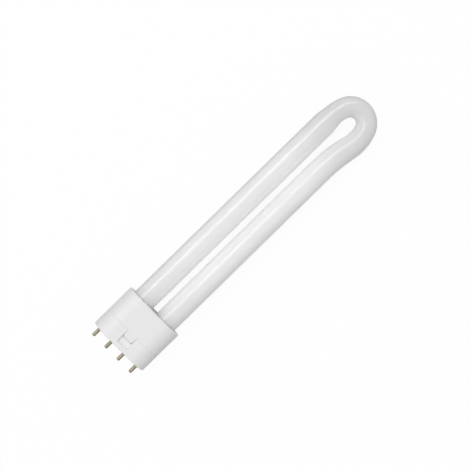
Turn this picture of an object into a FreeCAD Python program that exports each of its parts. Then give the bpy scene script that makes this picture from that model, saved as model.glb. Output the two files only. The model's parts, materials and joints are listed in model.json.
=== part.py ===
# Long compact fluorescent lamp with one hairpin tube and a four pin plastic cap, in millimetres.
#
# The lamp lies on a broad face of its cap. +X runs along the lamp towards the bend of the tube,
# Y runs across the two limbs, and +Z is up, square to the broad faces. The origin is below the
# middle of the lamp's length, on the surface it lies on.
#
# Each piece is first made in the lamp's own position: x is the distance from the seating plane,
# the face that the pins stand out of, and y and z are measured from the lamp's centre line.
# place() then moves it to its final place.
import FreeCAD, Part
import math
import os

V = FreeCAD.Vector
ALONG = V(1, 0, 0)
UP = V(0, 0, 1)

# The lamp as a whole
lamp_reach = 223.0       # seating plane to the far side of the bend
limb_diameter = 15.9     # outer diameter of the glass in the limbs
limb_gap = 3.8           # between the glass of the two limbs

# Bend of the tube. It is drawn thinner than the limbs, and its loop leans over the -Y limb.
bend_diameter = 13.6     # glass diameter in the crown of the bend
shoulder_radius = 28.0   # first shoulder, above the +Y limb
shoulder_turn = 20.0     # degrees
crown_turn = 139.5       # degrees, about the tight crown
far_shoulder_radius = 26.0
return_radius = 110.0    # long arc that brings the -Y limb back to its pitch
lean = 12.6              # degrees that the loop turns past a half circle
neck_length = 10.0       # limb diameter down to bend diameter, on the +Y side
neck_lead = 6.7          # how much of that neck is below the bend
swell_start = 28.0       # along the bend, where it widens again on the -Y side
swell_length = 34.0
station_spacing = 3.0    # between two sections along the bend

# Sealed foot of each limb, inside the cap
foot_height = 17.0       # seating plane to the end of the glass
foot_round = 3.0
stem_mouth_radius = 4.2
stem_floor_radius = 3.2
stem_depth = 4.0
exhaust_radius = 1.4
exhaust_length = 3.0     # exhaust tip below the end of the glass

# Cap. Its round ends are concentric with the limbs.
cap_height = 32.1        # seating plane to the deck that the limbs stand out of
seam_height = 12.9       # joint between the contact block and the cap shell
shell_wall = 1.8
cement_room = 2.0        # between the glass and the inside of the shell
deck_thickness = 2.2
tube_hole_clearance = 0.2
rim_radius = 0.6         # outer edges at both ends of the cap
seam_chamfer = 0.25      # edges on both sides of the seam
web_thickness = 2.0      # wall of the shell between the two limbs
rib_thickness = 1.2      # ribs that centre each limb
rib_excess = 1.0         # added towards the limb, then cut round
spigot_gap = 0.4         # from the contact block's spigot up to the web and the ribs
rib_angles = (-52.0, 0.0, 52.0)

# Snap tongue in the middle of each broad face, and the pocket that it closes in part
tongue_width = 7.8
tongue_length = 4.7
tongue_taper = 0.2       # each side, from root to tip
tongue_corner = 1.2
pocket_width = 8.0
pocket_depth = 2.0
pocket_floor_height = 3.2   # seating plane to the lower edge of the pocket
pocket_corner = 0.5
hook_height = 1.6
hook_reach = 0.8
hook_width = 4.6
hook_clearance = 0.2

# Contact block
plate_thickness = 3.0
spigot_wall = 1.3
spigot_length = 5.0
spigot_clearance = 0.1
boss_radius = 3.2
boss_height = 3.0
barrier_thickness = 1.2
barrier_height = 5.0

# Contact pins
pin_count = 4
pin_pitch = 11.0
pin_diameter = 2.35
pin_length = 6.7         # seating plane to the tip
pin_nose = 0.7           # radius of the rounded tip
pin_root_diameter = 3.2  # pressed into the plate and its boss
pin_flange_diameter = 4.0
pin_flange_thickness = 0.6
pin_tail_diameter = 2.2
pin_tail_length = 2.0
pin_bore_diameter = 0.8
pin_bore_stop = 1.2      # solid brass left at the tip
pin_press_clearance = 0.02
pin_relief = 0.4         # free room round each flange and tail, also where the block's wall is near

# Lead wires
wire_diameter = 0.5
wire_spread = 2.3        # from the limb's centre line to each wire in the stem
wire_bend_radius = 2.0
wire_straight = 2.5      # straight run at each end, outside the glass and the pin
wire_in_pin = 6.0        # how far the wire runs down the pin's bore

# Basing cement
cement_depth = 6.0       # below the deck

limb_pitch = limb_diameter + limb_gap
limb_radius = limb_diameter / 2
cap_depth = limb_diameter + 2 * (cement_room + shell_wall)
bend_radius = bend_diameter / 2
pin_radius = pin_diameter / 2
block_wall = shell_wall + spigot_clearance + spigot_wall
boss_top = plate_thickness + boss_height
flange_top = boss_top + pin_flange_thickness
tail_top = flange_top + pin_tail_length
deck_under = cap_height - deck_thickness
spigot_top = seam_height + spigot_length
web_foot = spigot_top + spigot_gap
middle = (lamp_reach - pin_length) / 2
same_place = 1e-6        # two edges this near are in one plane


def place(shape):
    """Move a piece from the lamp's own position to where it lies."""
    moved = shape.copy()
    moved.translate(V(-middle, 0, cap_depth / 2))
    return moved


def export(shape, name):
    place(shape).exportStep(f"parts/{name}.step")
    print(name, len(shape.Solids), "solid", round(shape.Volume, 1), "mm3", shape.isValid())


def stadium(inset, start, end):
    """Prism along X with the cap's outline, brought in by inset on every side."""
    radius = cap_depth / 2 - inset
    half = limb_pitch / 2
    corners = [
        V(start, -half, -radius),
        V(start, half, -radius),
        V(start, half, radius),
        V(start, -half, radius),
    ]
    edges = [
        Part.makeLine(corners[0], corners[1]),
        Part.Arc(corners[1], V(start, half + radius, 0), corners[2]).toShape(),
        Part.makeLine(corners[2], corners[3]),
        Part.Arc(corners[3], V(start, -half - radius, 0), corners[0]).toShape(),
    ]
    face = Part.Face(Part.Wire(edges))
    return face.extrude(V(end - start, 0, 0))


def rod(radius, start, end, y=0.0):
    """Cylinder along X."""
    return Part.makeCylinder(radius, end - start, V(start, y, 0), ALONG)


def block(x0, x1, y0, y1, z0, z1):
    return Part.makeBox(x1 - x0, y1 - y0, z1 - z0, V(x0, y0, z0))


def rim(solid, x):
    """The edges of a solid that lie in the plane at x."""
    near = [e for e in solid.Edges if abs(e.BoundBox.XMin - x) < same_place]
    return [e for e in near if abs(e.BoundBox.XMax - x) < same_place]


def upright(solid, x):
    """The edges along Z in the plane at x: the corners of a plate seen from above."""
    return [e for e in rim(solid, x) if e.BoundBox.YLength < same_place]


def turned(profile, y):
    """Solid of revolution about the line at y along X, from (x, radius) points and arcs."""
    edges = []
    for item in profile:
        points = [V(x, y + r, 0) for x, r in item]
        if len(points) == 3:
            edges.append(Part.Arc(*points).toShape())
        else:
            edges.append(Part.makeLine(*points))
    face = Part.Face(Part.Wire(edges))
    return face.revolve(V(0, y, 0), ALONG, 360)


def smooth_step(value):
    t = min(max(value, 0.0), 1.0)
    return t * t * (3 - 2 * t)


def crown_radius():
    """Radius of the tight crown that makes the loop end at the limbs' pitch."""
    first = math.radians(shoulder_turn)
    second = math.radians(shoulder_turn + crown_turn)
    past = math.radians(lean)
    used = shoulder_radius * (1 - math.cos(first))
    used += far_shoulder_radius * (math.cos(second) + math.cos(past))
    used -= return_radius * (1 - math.cos(past))
    return (limb_pitch - used) / (math.cos(first) - math.cos(second))


def bend_start():
    """Height at which the +Y limb's straight part ends, so that the crown reaches lamp_reach."""
    first = math.sin(math.radians(shoulder_turn))
    rise = shoulder_radius * first + crown_radius() * (1 - first) + bend_radius
    return lamp_reach - rise


def glass_radius(distance):
    """Outer radius of the glass at a distance along the bend."""
    neck = smooth_step((distance + neck_lead) / neck_length)
    swell = smooth_step((distance - swell_start) / swell_length)
    return limb_radius + (bend_radius - limb_radius) * (neck - swell)


def bend_stations():
    """Sections of the bend as (x, y, heading in radians, distance along the bend)."""
    stations = []
    steps = max(2, round(neck_lead / station_spacing))
    for k in range(steps + 1):
        below = neck_lead * (1 - k / steps)
        stations.append((bend_start() - below, limb_pitch / 2, 0.0, -below))
    far_turn = 180 + lean - shoulder_turn - crown_turn
    arcs = [
        (shoulder_radius, shoulder_turn, 1),
        (crown_radius(), crown_turn, 1),
        (far_shoulder_radius, far_turn, 1),
        (return_radius, lean, -1),
    ]
    for radius, turn, way in arcs:
        x, y, heading, distance = stations[-1]
        length = radius * math.radians(turn)
        steps = max(2, round(length / station_spacing))
        for k in range(1, steps + 1):
            angle = heading + way * math.radians(turn) * k / steps
            stations.append((
                x + way * radius * (math.sin(angle) - math.sin(heading)),
                y - way * radius * (math.cos(heading) - math.cos(angle)),
                angle,
                distance + length * k / steps,
            ))
    return stations


def bend():
    """The necked loop, lofted through round sections square to its centre line."""
    sections = []
    for x, y, heading, distance in bend_stations():
        ring = Part.Wire(Part.makeCircle(glass_radius(distance)))
        tangent = V(math.cos(heading), -math.sin(heading), 0)
        turn = FreeCAD.Rotation(UP, V(), tangent, "ZXY")
        ring.Placement = FreeCAD.Placement(V(x, y, 0), turn)
        sections.append(ring)
    return Part.makeLoft(sections, True, False)


def limb(y, top):
    """One straight limb with its sealed foot: a rounded end, the stem's mouth and the exhaust tip."""
    r = limb_radius
    sag = foot_round * (1 - math.sqrt(0.5))
    tip = foot_height - exhaust_length
    nose = exhaust_radius * (1 - math.sqrt(0.5))
    floor = foot_height + stem_depth
    profile = [
        [(top, 0), (top, r)],
        [(top, r), (foot_height + foot_round, r)],
        [(foot_height + foot_round, r), (foot_height + sag, r - sag), (foot_height, r - foot_round)],
        [(foot_height, r - foot_round), (foot_height, stem_mouth_radius)],
        [(foot_height, stem_mouth_radius), (floor, stem_floor_radius)],
        [(floor, stem_floor_radius), (floor, exhaust_radius)],
        [(floor, exhaust_radius), (tip + exhaust_radius, exhaust_radius)],
        [(tip + exhaust_radius, exhaust_radius), (tip + nose, exhaust_radius - nose), (tip, 0)],
        [(tip, 0), (top, 0)],
    ]
    return turned(profile, y)


def discharge_tube():
    """The whole bulb, which is sealed and white inside, as one solid."""
    first, last = bend_stations()[0], bend_stations()[-1]
    tube = bend().fuse([limb(first[1], first[0]), limb(last[1], last[0])])
    return tube.removeSplitter()


def tongue(side):
    """Snap tongue of one broad face: side is 1 for the top face and -1 for the face below."""
    root = tongue_width / 2
    tip = root - tongue_taper
    low = seam_height - tongue_length
    high = seam_height + tongue_corner
    outer = side * cap_depth / 2
    points = [
        V(high, -root, outer),
        V(seam_height, -root, outer),
        V(low, -tip, outer),
        V(low, tip, outer),
        V(seam_height, root, outer),
        V(high, root, outer),
    ]
    face = Part.Face(Part.makePolygon(points + [points[0]]))
    plate = face.extrude(V(0, 0, -side * shell_wall))
    plate = plate.makeFillet(tongue_corner, upright(plate, low))
    inner = outer - side * shell_wall
    hook_top = low + hook_height
    hook_points = [V(low, 0, inner), V(hook_top, 0, inner - side * hook_reach), V(hook_top, 0, inner)]
    hook_face = Part.Face(Part.makePolygon(hook_points + [hook_points[0]]))
    hook_face.translate(V(0, -hook_width / 2, 0))
    return plate.fuse(hook_face.extrude(V(0, hook_width, 0)))


def limb_ribs():
    """Ribs on the inside of the shell that keep both limbs central."""
    near = limb_radius + tube_hole_clearance
    far = cap_depth / 2 - shell_wall / 2
    ribs = []
    for side in (-1, 1):
        for angle in rib_angles:
            rib = block(web_foot, deck_under, near - rib_excess, far, -rib_thickness / 2, rib_thickness / 2)
            turn = angle if side > 0 else 180 + angle
            rib.rotate(V(0, 0, 0), ALONG, turn)
            rib.translate(V(0, side * limb_pitch / 2, 0))
            ribs.append(rib.cut(rod(near, web_foot, deck_under, side * limb_pitch / 2)))
    return ribs


def cap_shell():
    """Upper moulding: it holds both limbs and snaps over the contact block."""
    shell = stadium(0, seam_height, cap_height)
    shell = shell.makeFillet(rim_radius, rim(shell, cap_height))
    shell = shell.makeChamfer(seam_chamfer, rim(shell, seam_height))
    shell = shell.cut(stadium(shell_wall, seam_height, deck_under))
    reach = cap_depth / 2 - shell_wall / 2
    web = block(web_foot, deck_under, -web_thickness / 2, web_thickness / 2, -reach, reach)
    shell = shell.fuse([web, tongue(1), tongue(-1)] + limb_ribs())
    for side in (-1, 1):
        hole = rod(limb_radius + tube_hole_clearance, deck_under, cap_height, side * limb_pitch / 2)
        shell = shell.cut(hole)
    return shell.removeSplitter()


def pocket(side):
    """Recess in one broad face of the contact block, with the window that the tongue's hook snaps into."""
    outer = side * cap_depth / 2
    floor = outer - side * pocket_depth
    half = pocket_width / 2
    recess = block(pocket_floor_height, seam_height, -half, half, min(outer, floor), max(outer, floor))
    recess = recess.makeFillet(pocket_corner, upright(recess, pocket_floor_height))
    behind = outer - side * block_wall
    low = seam_height - tongue_length - hook_clearance
    high = low + hook_height + 2 * hook_clearance
    reach = hook_width / 2 + hook_clearance
    window = block(low, high, -reach, reach, min(floor, behind), max(floor, behind))
    return recess.fuse(window)


def pin_rows():
    """The y of each contact pin."""
    return [(k - (pin_count - 1) / 2) * pin_pitch for k in range(pin_count)]


def contact_block():
    """Lower moulding: the pin plate, its bosses and barriers, and the spigot that enters the shell."""
    body = stadium(0, 0, seam_height)
    body = body.makeFillet(rim_radius, rim(body, 0))
    body = body.makeChamfer(seam_chamfer, rim(body, seam_height))
    body = body.fuse(stadium(shell_wall + spigot_clearance, seam_height, spigot_top))
    body = body.cut(stadium(block_wall, plate_thickness, spigot_top))
    bosses = [rod(boss_radius, plate_thickness, boss_top, y) for y in pin_rows()]
    body = body.fuse(bosses)
    reach = cap_depth / 2 - block_wall / 2
    half = barrier_thickness / 2
    for k in range(pin_count - 1):
        y = (k - (pin_count - 2) / 2) * pin_pitch
        top = plate_thickness + barrier_height
        body = body.fuse(block(plate_thickness, top, y - half, y + half, -reach, reach))
    for y in pin_rows():
        hole = rod(pin_root_diameter / 2 + pin_press_clearance, 0, boss_top, y)
        relief = rod(pin_flange_diameter / 2 + pin_relief, boss_top, tail_top + pin_relief, y)
        body = body.cut([hole, relief])
    body = body.cut([pocket(1), pocket(-1)])
    return body.removeSplitter()


def contact_pin(y):
    """Turned brass pin with a rounded tip, a pressed root, a flange and a hollow tail for its wire."""
    r = pin_radius
    root = pin_root_diameter / 2
    flange = pin_flange_diameter / 2
    tail = pin_tail_diameter / 2
    bore = pin_bore_diameter / 2
    tip = -pin_length
    bore_end = tip + pin_bore_stop
    sag = pin_nose * (1 - math.sqrt(0.5))
    profile = [
        [(tip, 0), (tip, r - pin_nose)],
        [(tip, r - pin_nose), (tip + sag, r - sag), (tip + pin_nose, r)],
        [(tip + pin_nose, r), (0, r)],
        [(0, r), (0, root)],
        [(0, root), (boss_top, root)],
        [(boss_top, root), (boss_top, flange)],
        [(boss_top, flange), (flange_top, flange)],
        [(flange_top, flange), (flange_top, tail)],
        [(flange_top, tail), (tail_top, tail)],
        [(tail_top, tail), (tail_top, bore)],
        [(tail_top, bore), (bore_end, bore)],
        [(bore_end, bore), (bore_end, 0)],
        [(bore_end, 0), (tip, 0)],
    ]
    return turned(profile, y)


def rounded_path(points, radius):
    """Straight runs joined by tangent arcs."""
    edges = []
    start = points[0]
    for before, corner, after in zip(points, points[1:], points[2:]):
        back = (before - corner).normalize()
        ahead = (after - corner).normalize()
        half_inside = back.getAngle(ahead) / 2
        leg = radius / math.tan(half_inside)
        arc_in = corner + back * leg
        arc_out = corner + ahead * leg
        bisector = (back + ahead).normalize()
        depth = radius / math.sin(half_inside) - radius
        edges.append(Part.makeLine(start, arc_in))
        edges.append(Part.Arc(arc_in, corner + bisector * depth, arc_out).toShape())
        start = arc_out
    edges.append(Part.makeLine(start, points[-1]))
    return Part.Wire(edges)


def lead_wire(pin_y):
    """Wire from the stem of the nearer limb into the tail of one pin."""
    limb_y = math.copysign(limb_pitch / 2, pin_y)
    stem_y = limb_y + math.copysign(wire_spread, pin_y - limb_y)
    stem_top = foot_height + stem_depth
    stem_exit = foot_height - wire_straight
    pin_entry = tail_top + wire_straight
    points = [
        V(stem_top, stem_y, 0),
        V(stem_exit, stem_y, 0),
        V(pin_entry, pin_y, 0),
        V(tail_top - wire_in_pin, pin_y, 0),
    ]
    path = rounded_path(points, wire_bend_radius)
    ring = Part.Wire(Part.makeCircle(wire_diameter / 2, points[0], V(-1, 0, 0)))
    return path.makePipeShell([ring], True, False)


def cement(shell):
    """Fillings round the limbs' feet, under the deck of the shell: one for each limb."""
    low = deck_under - cement_depth
    slab = stadium(shell_wall, low, deck_under)
    limbs = [rod(limb_radius, low, deck_under, side * limb_pitch / 2) for side in (-1, 1)]
    filled = slab.cut([shell] + limbs)
    return sorted(filled.Solids, key=lambda s: s.CenterOfMass.y)


def main():
    os.makedirs("parts", exist_ok=True)
    tube = discharge_tube()
    shell = cap_shell()
    export(tube, "discharge_tube")
    export(shell, "cap_shell")
    export(contact_block(), "contact_block")
    right, left = cement(shell)
    export(right, "cement_right")
    export(left, "cement_left")
    for k, y in enumerate(pin_rows()):
        export(contact_pin(y), f"contact_pin_{k + 1}")
        export(lead_wire(y), f"lead_wire_{k + 1}")


main()
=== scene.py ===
# Look of the long hairpin fluorescent lamp, in metres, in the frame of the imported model.
#
# The lamp lies on a broad face of its cap. +X runs towards the bend of the glass, +Y is the side
# of the limb that runs straight into the bend, and +Z is up.
import json
import math
import bpy
from mathutils import Matrix, Vector


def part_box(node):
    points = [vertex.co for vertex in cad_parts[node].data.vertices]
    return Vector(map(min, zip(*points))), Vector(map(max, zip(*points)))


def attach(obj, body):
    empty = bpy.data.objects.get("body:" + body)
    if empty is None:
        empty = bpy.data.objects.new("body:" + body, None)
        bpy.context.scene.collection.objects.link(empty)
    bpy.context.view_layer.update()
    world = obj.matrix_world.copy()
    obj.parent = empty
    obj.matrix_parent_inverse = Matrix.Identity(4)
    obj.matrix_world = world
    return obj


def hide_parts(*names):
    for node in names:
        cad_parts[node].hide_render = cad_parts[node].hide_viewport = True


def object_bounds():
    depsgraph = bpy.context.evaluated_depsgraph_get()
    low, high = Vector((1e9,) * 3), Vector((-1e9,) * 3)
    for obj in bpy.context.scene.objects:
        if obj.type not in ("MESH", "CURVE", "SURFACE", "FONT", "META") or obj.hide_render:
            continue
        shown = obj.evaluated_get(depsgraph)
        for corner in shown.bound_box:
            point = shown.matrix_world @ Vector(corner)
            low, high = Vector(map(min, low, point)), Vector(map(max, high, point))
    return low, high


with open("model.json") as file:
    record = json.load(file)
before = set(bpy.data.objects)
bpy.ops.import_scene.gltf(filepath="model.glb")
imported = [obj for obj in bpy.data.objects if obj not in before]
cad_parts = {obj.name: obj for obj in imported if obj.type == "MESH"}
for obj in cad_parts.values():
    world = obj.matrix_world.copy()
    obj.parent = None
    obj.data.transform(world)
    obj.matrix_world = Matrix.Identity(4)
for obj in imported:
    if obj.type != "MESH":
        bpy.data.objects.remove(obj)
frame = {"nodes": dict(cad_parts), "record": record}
cad_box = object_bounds()

MM = 0.001

# The glass tube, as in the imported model
limb_radius = 7.95 * MM
limb_pitch = 19.7 * MM
bend_radius = 6.8 * MM
shoulder_radius = 28.0 * MM
shoulder_turn = math.radians(20.0)
crown_turn = math.radians(139.5)
far_shoulder_radius = 26.0 * MM
return_radius = 110.0 * MM
lean = math.radians(12.6)
neck_length = 10.0 * MM
neck_lead = 6.7 * MM
swell_start = 28.0 * MM
swell_length = 34.0 * MM
foot_round = 3.0 * MM
stem_mouth_radius = 4.2 * MM
stem_floor_radius = 3.2 * MM
stem_depth = 4.0 * MM
exhaust_radius = 1.4 * MM
exhaust_length = 3.0 * MM
ring_spacing = 1.2 * MM
ring_points = 96
foot_steps = 8                     # rings in each quarter circle of a foot

# The photograph's frame and what was measured in it
photo_width = 470
photo_scale = 1.5636 / MM          # pixels for each metre at the height of the tube's middle
lamp_angle = math.radians(44.44)   # of the lamp's long axis above the photo's rows
lamp_pixel = (239.7, 227.9)        # middle of the lamp
camera_height = 800 * MM           # above the tube's middle
camera_x = -15 * MM                # the camera stands a little to the cap's side of the lamp's middle
camera_y = 44 * MM                 # and beyond the +Y limb
camera_reach = 20.0                # the farthest that it sees
sensor_width = 36.0

# Colours, and the values that most of a noise lies between
black = (0.0, 0.0, 0.0)
white = (1.0, 1.0, 1.0)
noise_low = 0.3
noise_high = 0.7
cloud_shade = 0.98

# How white the cap's plastic is, with painted light on the pocket floors and on the deck and painted
# shade under the tongues
plastic_white = 0.80
pocket_half_width = 4.0 * MM
pocket_depth = 2.0 * MM
pocket_top = 8.2 * MM              # above the seating plane, under the tip of the tongue
floor_blend_start = 0.6 * pocket_depth
floor_blend_end = 0.8 * pocket_depth
edge_blend = 0.4 * MM
tongue_blend = 0.8 * MM
pocket_painted_light = 1.10
tongue_shade = 0.60
deck_painted_light = 1.16

# How white the coating is, and how it changes along the lamp, with painted shade next to the cap
coating_white = 0.845
bend_grey = 0.855
bend_grey_start = 72 * MM          # before the end of the bend
bend_grey_full = 16 * MM
# painted shade on the glass where it meets the cap
cap_painted_shade = 0.92
cap_painted_shade_length = 8 * MM
cap_fade = 0.93
cap_fade_length = 40 * MM

# Painted light and shade round the glass, from -1 on the side that faces the gap to 1 on the outer
# side: the sides that face the gap get painted light, the outer side slight painted shade
gap_side_painted_light = 1.18
gap_side_painted_light_end = -0.5
outer_side_painted_shade = 0.99
painted_rim_start = 0.82
painted_rim_full = 0.96
limb_rim_painted_shade = 0.80                    # painted shade on the thin outer rim of the +Y limb
limb_rim_painted_shade_blend = 8 * MM
bend_rim_painted_shade = 0.66                    # and painted shade on the outer rim of the bend
bend_rim_painted_shade_start = 16 * MM           # before the end of the bend
bend_rim_painted_shade_full = 9 * MM

# Studio
horizon_level = 0.70               # of the sky
overhead_level = 0.70
floor_size = 6.0                   # half of each side
floor_drop = 0.2 * MM
floor_bounce = 0.35                # what it gives back to the lamp
floor_seen = 0.95                  # what it shows to the camera
floor_glow = 0.95

low, high = cad_box
seat_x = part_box("contact_block")[0].x
cap_top_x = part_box("cap_shell")[1].x
cap_face_height = (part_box("cap_shell")[1].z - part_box("cap_shell")[0].z) / 2
pocket_top_x = seat_x + pocket_top
foot_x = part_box("discharge_tube")[0].x + exhaust_length
axis_z = (low[2] + high[2]) / 2
reach_x = high[0]


# Route of the glass
def smooth_step(value):
    t = min(max(value, 0.0), 1.0)
    return t * t * (3 - 2 * t)


def crown_radius():
    """Radius of the tight crown that makes the loop end at the limbs' pitch."""
    second = shoulder_turn + crown_turn
    used = shoulder_radius * (1 - math.cos(shoulder_turn))
    used += far_shoulder_radius * (math.cos(second) + math.cos(lean))
    used -= return_radius * (1 - math.cos(lean))
    return (limb_pitch - used) / (math.cos(shoulder_turn) - math.cos(second))


def glass_radius(distance):
    """Outer radius of the glass at a distance along the bend."""
    neck = smooth_step((distance + neck_lead) / neck_length)
    swell = smooth_step((distance - swell_start) / swell_length)
    return limb_radius + (bend_radius - limb_radius) * (neck - swell)


def foot_rings(y, heading):
    """Sealed end of a limb from its exhaust tip up, as (centre, heading, radius)."""
    tip = foot_x - exhaust_length
    stem_floor = foot_x + stem_depth
    rings = []
    for k in range(1, foot_steps + 1):
        a = math.pi / 2 * k / foot_steps
        rings.append((tip + exhaust_radius * (1 - math.cos(a)), exhaust_radius * math.sin(a)))
    rings.append((stem_floor, exhaust_radius))
    rings.append((stem_floor, stem_floor_radius))
    rings.append((foot_x, stem_mouth_radius))
    for k in range(foot_steps + 1):
        a = math.pi / 2 * k / foot_steps
        reach = limb_radius - foot_round + foot_round * math.sin(a)
        rings.append((foot_x + foot_round * (1 - math.cos(a)), reach))
    return [(Vector((x, y, axis_z)), heading, radius) for x, radius in rings]


def straight_rings(y, heading, start, end):
    """Even rings along a straight stretch, without its two ends."""
    steps = max(2, round(abs(end - start) / ring_spacing))
    return [
        (Vector((start + (end - start) * k / steps, y, axis_z)), heading, limb_radius)
        for k in range(1, steps)
    ]


def bend_rings():
    """The necked loop, from the start of its neck to the straight part of the -Y limb."""
    rise = shoulder_radius * math.sin(shoulder_turn)
    rise += crown_radius() * (1 - math.sin(shoulder_turn)) + bend_radius
    x, y, heading, distance = reach_x - rise, limb_pitch / 2, 0.0, 0.0
    rings = []
    steps = round(neck_lead / ring_spacing)
    for k in range(steps + 1):
        below = neck_lead * (1 - k / steps)
        rings.append((Vector((x - below, y, axis_z)), 0.0, glass_radius(-below)))
    arcs = [
        (shoulder_radius, shoulder_turn, 1),
        (crown_radius(), crown_turn, 1),
        (far_shoulder_radius, math.pi + lean - shoulder_turn - crown_turn, 1),
        (return_radius, lean, -1),
    ]
    for radius, turn, way in arcs:
        length = radius * turn
        steps = max(2, round(length / ring_spacing))
        for k in range(1, steps + 1):
            angle = heading + way * turn * k / steps
            centre = Vector((
                x + way * radius * (math.sin(angle) - math.sin(heading)),
                y - way * radius * (math.cos(heading) - math.cos(angle)),
                axis_z,
            ))
            rings.append((centre, angle, glass_radius(distance + length * k / steps)))
        x, y, heading, distance = centre.x, centre.y, angle, distance + length
    return rings


def tube_rings():
    """Every ring of the glass, from one exhaust tip round the bend to the other."""
    bend = bend_rings()
    first, last = bend[0][0], bend[-1][0]
    foot_top = foot_x + foot_round
    rings = foot_rings(first.y, 0.0)
    rings += straight_rings(first.y, 0.0, foot_top, first.x)
    rings += bend
    rings += straight_rings(last.y, math.pi, last.x, foot_top)
    rings += reversed(foot_rings(last.y, math.pi))
    return rings


def swept_mesh(name, rings):
    """Closed skin through the rings, with a point at each exhaust tip.

    The attribute "outward" runs from -1 on the side that faces the gap to 1 on the outer side.
    """
    verts = []
    faces = []
    outward = []
    for centre, heading, radius in rings:
        side = Vector((math.sin(heading), math.cos(heading), 0))
        for k in range(ring_points):
            a = 2 * math.pi * k / ring_points
            lift = Vector((0, 0, radius * math.sin(a)))
            verts.append(centre + side * (radius * math.cos(a)) + lift)
            outward.append(math.cos(a))
    last_ring = len(verts) - ring_points
    for first in range(0, last_ring, ring_points):
        for k in range(ring_points):
            a, b = first + k, first + (k + 1) % ring_points
            faces.append((a, b, b + ring_points, a + ring_points))
    for first, centre, way in ((0, rings[0][0], -1), (last_ring, rings[-1][0], 1)):
        tip = len(verts)
        verts.append(Vector((foot_x - exhaust_length, centre.y, centre.z)))
        outward.append(0.0)
        for k in range(ring_points):
            edge = (first + k, first + (k + 1) % ring_points)
            faces.append((tip, *edge[::way]))
    mesh = bpy.data.meshes.new(name)
    mesh.from_pydata(verts, [], faces)
    mesh.update()
    mesh.attributes.new("outward", "FLOAT", "POINT").data.foreach_set("value", outward)
    for polygon in mesh.polygons:
        polygon.use_smooth = True
    return mesh


# Node trees
class Tree:
    """A node tree with short calls to add and join nodes."""

    def __init__(self, tree):
        self.tree = tree

    def add(self, kind, inputs=None, **settings):
        """A new node, whose inputs are values or the outputs of other nodes."""
        node = self.tree.nodes.new(kind)
        for key, value in settings.items():
            setattr(node, key, value)
        for key, value in (inputs or {}).items():
            if isinstance(value, bpy.types.NodeSocket):
                self.tree.links.new(value, node.inputs[key])
            else:
                node.inputs[key].default_value = value
        return node

    def math(self, operation, a, b=0.0):
        return self.add("ShaderNodeMath", {0: a, 1: b}, operation=operation).outputs[0]

    def product(self, *factors):
        result = factors[0]
        for factor in factors[1:]:
            result = self.math("MULTIPLY", result, factor)
        return result

    def remap(self, value, from_low, from_high, to_low, to_high, kind="LINEAR"):
        inputs = {
            "Value": value,
            "From Min": from_low,
            "From Max": from_high,
            "To Min": to_low,
            "To Max": to_high,
        }
        return self.add("ShaderNodeMapRange", inputs, interpolation_type=kind).outputs["Result"]

    def seen(self):
        """1 for the rays that should find a white background, 0 for those that light the lamp."""
        rays = self.add("ShaderNodeLightPath").outputs
        seen = self.math("MAXIMUM", rays["Is Camera Ray"], rays["Is Glossy Ray"])
        return self.math("MAXIMUM", seen, rays["Is Transmission Ray"])


class Material(Tree):
    """A material's tree, with what its shader needs."""

    def __init__(self, name):
        self.material = bpy.data.materials.new(name)
        self.material.use_nodes = True
        super().__init__(self.material.node_tree)
        self.shader = next(n for n in self.tree.nodes if n.type == "BSDF_PRINCIPLED")
        self.output = next(n for n in self.tree.nodes if n.type == "OUTPUT_MATERIAL")

    def set(self, **values):
        for key, value in values.items():
            self.shader.inputs[key.replace("_", " ")].default_value = value

    def join(self, output, name):
        self.tree.links.new(output, self.shader.inputs[name])

    def position(self):
        return self.add("ShaderNodeTexCoord").outputs["Object"]

    def along(self, axis):
        return self.add("ShaderNodeSeparateXYZ", {"Vector": self.position()}).outputs[axis]

    def noise(self, scale=1.0, stretch=None, detail=3.0, roughness=0.5):
        """Noise with one scale for all axes, or with one for each."""
        place = self.position()
        if stretch:
            place = self.add("ShaderNodeMapping", {"Vector": place, "Scale": stretch}).outputs["Vector"]
        inputs = {"Vector": place, "Scale": scale, "Detail": detail, "Roughness": roughness}
        return self.add("ShaderNodeTexNoise", inputs).outputs["Fac"]

    def vary(self, noise, lowest, highest):
        """A value that follows a noise from its lowest to its highest."""
        return self.remap(noise, noise_low, noise_high, lowest, highest)

    def clouds(self, scale):
        """Faint soft clouds in a colour's level."""
        return self.vary(self.noise(scale), cloud_shade, 1.0)

    def tint(self, factor, dark, light):
        """Colour between two others."""
        node = self.add("ShaderNodeMix", data_type="RGBA")
        self.tree.links.new(factor, node.inputs["Factor"])
        node.inputs[6].default_value = (*dark, 1)
        node.inputs[7].default_value = (*light, 1)
        return node.outputs[2]

    def bump(self, height, strength, distance):
        inputs = {"Height": height, "Strength": strength, "Distance": distance}
        self.join(self.add("ShaderNodeBump", inputs).outputs["Normal"], "Normal")


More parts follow.
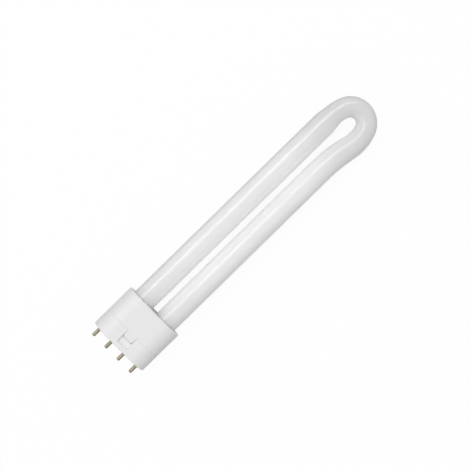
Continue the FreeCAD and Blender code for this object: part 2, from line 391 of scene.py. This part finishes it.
# Materials
def coated_glass():
    """White coating under clear glass, greyer in the bend and towards the cap, with painted shade where
    it meets the cap and on its outer rim, and painted light on the sides that face the gap.
    """
    m = Material("coated_glass")
    x = m.along("X")
    in_bend = m.remap(
        x, reach_x - bend_grey_start, reach_x - bend_grey_full, 1.0, bend_grey, "SMOOTHSTEP")
    # painted shade on the glass where it meets the cap
    painted_shade_near_cap = m.remap(x, cap_top_x, cap_top_x + cap_painted_shade_length, cap_painted_shade, 1.0, "SMOOTHSTEP")
    above_cap = m.remap(x, cap_top_x, cap_top_x + cap_fade_length, cap_fade, 1.0)
    outward = m.add("ShaderNodeAttribute", attribute_name="outward").outputs["Fac"]
    # painted light on the sides that face the gap, and slight painted shade on the outer side
    inner = m.remap(outward, -1.0, gap_side_painted_light_end, gap_side_painted_light, 1.0)
    outer = m.remap(outward, 0.0, 1.0, 1.0, outer_side_painted_shade)
    # painted shade along the outer rim of the glass, darkest at the end of the bend
    limb_rim_shade_level = m.remap(m.along("Y"), -limb_rim_painted_shade_blend, limb_rim_painted_shade_blend, 1.0, limb_rim_painted_shade)
    bend_rim_shade_level = m.remap(x, reach_x - bend_rim_painted_shade_start, reach_x - bend_rim_painted_shade_full, 1.0, bend_rim_painted_shade)
    rim = m.remap(outward, painted_rim_start, painted_rim_full, 1.0, m.math("MINIMUM", limb_rim_shade_level, bend_rim_shade_level))
    along = m.product(in_bend, painted_shade_near_cap, above_cap, m.clouds(scale=95.0))
    level = m.product(coating_white, along, inner, outer, rim)
    m.join(m.tint(level, black, white), "Base Color")
    m.join(m.vary(m.noise(scale=160.0), 0.30, 0.38), "Roughness")
    m.set(Subsurface_Weight=1.0, Subsurface_Radius=(1, 1, 1), Subsurface_Scale=5 * MM)
    m.set(IOR=1.5, Coat_Weight=0.6, Coat_Roughness=0.16, Coat_IOR=1.5, Specular_IOR_Level=0.0)
    m.bump(m.noise(stretch=(9, 90, 90), detail=2.0), strength=0.08, distance=0.2 * MM)
    return m.material


def cap_plastic():
    """Satin white moulded plastic, with painted light on the pocket floors and on the deck, and painted
    shadow under the tongues.
    """
    m = Material("cap_plastic")
    x = m.along("X")
    height = m.math("ABSOLUTE", m.math("SUBTRACT", m.along("Z"), axis_z))
    depth = m.math("SUBTRACT", cap_face_height, height)
    recessed = m.remap(depth, floor_blend_start, floor_blend_end, 0.0, 1.0)
    reach = m.math("ABSOLUTE", m.along("Y"))
    across = m.remap(reach, pocket_half_width, pocket_half_width + edge_blend, 1.0, 0.0)
    pocket = m.product(recessed, across)
    # painted light on the pocket floors
    pocket_lit = m.remap(pocket, 0.0, 1.0, 1.0, pocket_painted_light)
    # painted shadow on the pocket floor under the tip of the tongue
    below_tongue = m.remap(x, pocket_top_x - tongue_blend, pocket_top_x, 1.0, tongue_shade)
    shaded = m.remap(pocket, 0.0, 1.0, 1.0, below_tongue)
    # painted light on the deck, the cap's face under the limbs, against the shade that the limbs cast
    # on it
    deck = m.remap(x, cap_top_x - edge_blend, cap_top_x, 1.0, deck_painted_light)
    level = m.product(plastic_white, deck, pocket_lit, shaded, m.clouds(scale=60.0))
    m.join(m.tint(level, black, white), "Base Color")
    m.join(m.vary(m.noise(scale=900.0), 0.56, 0.66), "Roughness")
    m.set(IOR=1.5)
    m.bump(m.noise(scale=2600.0, detail=2.0), strength=0.1, distance=0.05 * MM)
    return m.material


def pin_brass():
    """Dull brass with darker tarnish."""
    m = Material("pin_brass")
    tarnish = m.noise(scale=700.0, detail=4.0, roughness=0.6)
    m.join(m.tint(tarnish, dark=(0.18, 0.16, 0.11), light=(0.34, 0.31, 0.23)), "Base Color")
    m.join(m.vary(m.noise(scale=1500.0), 0.48, 0.62), "Roughness")
    m.set(Metallic=1.0)
    m.bump(m.noise(stretch=(200, 3000, 3000)), strength=0.15, distance=0.03 * MM)
    return m.material


def basing_cement():
    """Rough grey cement with a coarse grain."""
    m = Material("basing_cement")
    grain = m.noise(scale=900.0, detail=6.0, roughness=0.7)
    m.join(m.tint(grain, dark=(0.66, 0.63, 0.58), light=(0.84, 0.82, 0.77)), "Base Color")
    m.set(Roughness=0.9)
    m.bump(grain, strength=0.5, distance=0.2 * MM)
    return m.material


def wire_metal():
    """Bright wire with fine lines along it."""
    m = Material("wire_metal")
    drawn = m.noise(stretch=(100, 4000, 4000))
    m.join(m.tint(drawn, dark=(0.40, 0.39, 0.37), light=(0.62, 0.61, 0.58)), "Base Color")
    m.join(m.vary(drawn, 0.3, 0.4), "Roughness")
    m.set(Metallic=1.0)
    return m.material


def floor_material():
    """Pale floor that looks white, with the lamp's soft shadow left in it."""
    m = Material("floor")
    m.set(Roughness=0.9, Specular_IOR_Level=0.0)
    seen = m.seen()
    m.join(m.tint(seen, dark=(floor_bounce,) * 3, light=(floor_seen,) * 3), "Base Color")
    glow = m.add("ShaderNodeEmission", {"Color": (*white, 1), "Strength": 1.0})
    mix = m.add("ShaderNodeMixShader", {0: m.product(seen, floor_glow)})
    m.tree.links.new(m.shader.outputs[0], mix.inputs[1])
    m.tree.links.new(glow.outputs[0], mix.inputs[2])
    m.tree.links.new(mix.outputs[0], m.output.inputs["Surface"])
    return m.material


# What stands in the scene
def new_object(name, data):
    made = bpy.data.objects.new(name, data)
    bpy.context.scene.collection.objects.link(made)
    return made


def dress_nodes():
    """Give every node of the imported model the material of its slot, and return the materials."""
    made = {
        "coated_glass": coated_glass(),
        "cap_plastic": cap_plastic(),
        "pin_brass": pin_brass(),
        "basing_cement": basing_cement(),
        "wire_metal": wire_metal(),
    }
    for sub_part in frame["record"]["subparts"]:
        piece = frame["nodes"][sub_part["node"]]
        piece.data.materials.clear()
        piece.data.materials.append(made[sub_part["material_slot"]])
    return made


def add_tube(material):
    """The skin of the glass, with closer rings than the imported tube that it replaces."""
    mesh = swept_mesh("glass_tube", tube_rings())
    mesh.materials.append(material)
    tube = new_object("glass_tube", mesh)
    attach(tube, "root")
    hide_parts("discharge_tube")


def add_floor():
    corners = [(-1, -1), (1, -1), (1, 1), (-1, 1)]
    mesh = bpy.data.meshes.new("floor")
    mesh.from_pydata([(floor_size * x, floor_size * y, 0) for x, y in corners], [], [(0, 1, 2, 3)])
    mesh.materials.append(floor_material())
    floor = new_object("floor", mesh)
    floor.location.z = low[2] - floor_drop


def aim(thing, place, right, back):
    """Put a light or a camera at a place, with its right side and its back as given."""
    turn = Matrix((right, back.cross(right), back)).transposed().to_4x4()
    thing.matrix_world = Matrix.Translation(place) @ turn


def add_area(name, direction, distance, width, length, radiance):
    """Soft box that faces the lamp from a direction, with its length along X."""
    light = bpy.data.lights.new(name, "AREA")
    light.shape = "RECTANGLE"
    light.size = width
    light.size_y = length
    light.energy = radiance * math.pi * width * length
    box = new_object(name, light)
    back = Vector(direction).normalized()
    right = back.cross(Vector((-1, 0, 0))).normalized()
    aim(box, back * distance, right, back)
    return box


def add_lights():
    """A key that lights the lamp, and a strip that is only seen in its gloss."""
    key = add_area(
        "key", direction=(0.0, 0.466, 1.0), distance=1.4, width=0.6, length=1.2, radiance=2.8)
    key.visible_glossy = False
    strip = add_area(
        "strip", direction=(0.0, 0.635, 1.0), distance=1.3, width=0.50, length=3.2, radiance=5.8)
    strip.visible_diffuse = False


def set_world():
    """Light from the sky, by height above the horizon, and a white background."""
    world = bpy.data.worlds.new("world")
    bpy.context.scene.world = world
    world.use_nodes = True
    w = Tree(world.node_tree)
    background = w.tree.nodes["Background"]
    background.inputs["Color"].default_value = (*white, 1)
    direction = w.add("ShaderNodeTexCoord").outputs["Generated"]
    height = w.add("ShaderNodeSeparateXYZ", {"Vector": direction}).outputs["Z"]
    sky = w.remap(height, 0.0, 1.0, horizon_level, overhead_level)
    w.tree.links.new(w.math("MAXIMUM", sky, w.seen()), background.inputs["Strength"])


def add_camera():
    """Camera above the lamp, turned so that the lamp's middle falls on its pixel."""
    middle = Vector(((low[0] + high[0]) / 2, 0, axis_z))
    place = Vector((camera_x, camera_y, axis_z + camera_height))
    right_flat = Vector((math.cos(lamp_angle), -math.sin(lamp_angle), 0))
    up_flat = Vector((math.sin(lamp_angle), math.cos(lamp_angle), 0))
    offset = [(p - photo_width / 2) / photo_scale for p in lamp_pixel]
    target = middle - right_flat * offset[0] + up_flat * offset[1]
    back = (place - target).normalized()
    camera_data = bpy.data.cameras.new("camera")
    camera_data.sensor_width = sensor_width
    camera_data.lens = sensor_width * (place - target).length * photo_scale / photo_width
    camera_data.clip_end = camera_reach
    camera = new_object("camera", camera_data)
    aim(camera, place, (right_flat - back * right_flat.dot(back)).normalized(), back)
    bpy.context.scene.camera = camera


def main():
    add_camera()
    made = dress_nodes()
    add_tube(made["coated_glass"])
    add_floor()
    set_world()
    add_lights()
    bpy.context.scene.view_settings.view_transform = "Standard"


main()
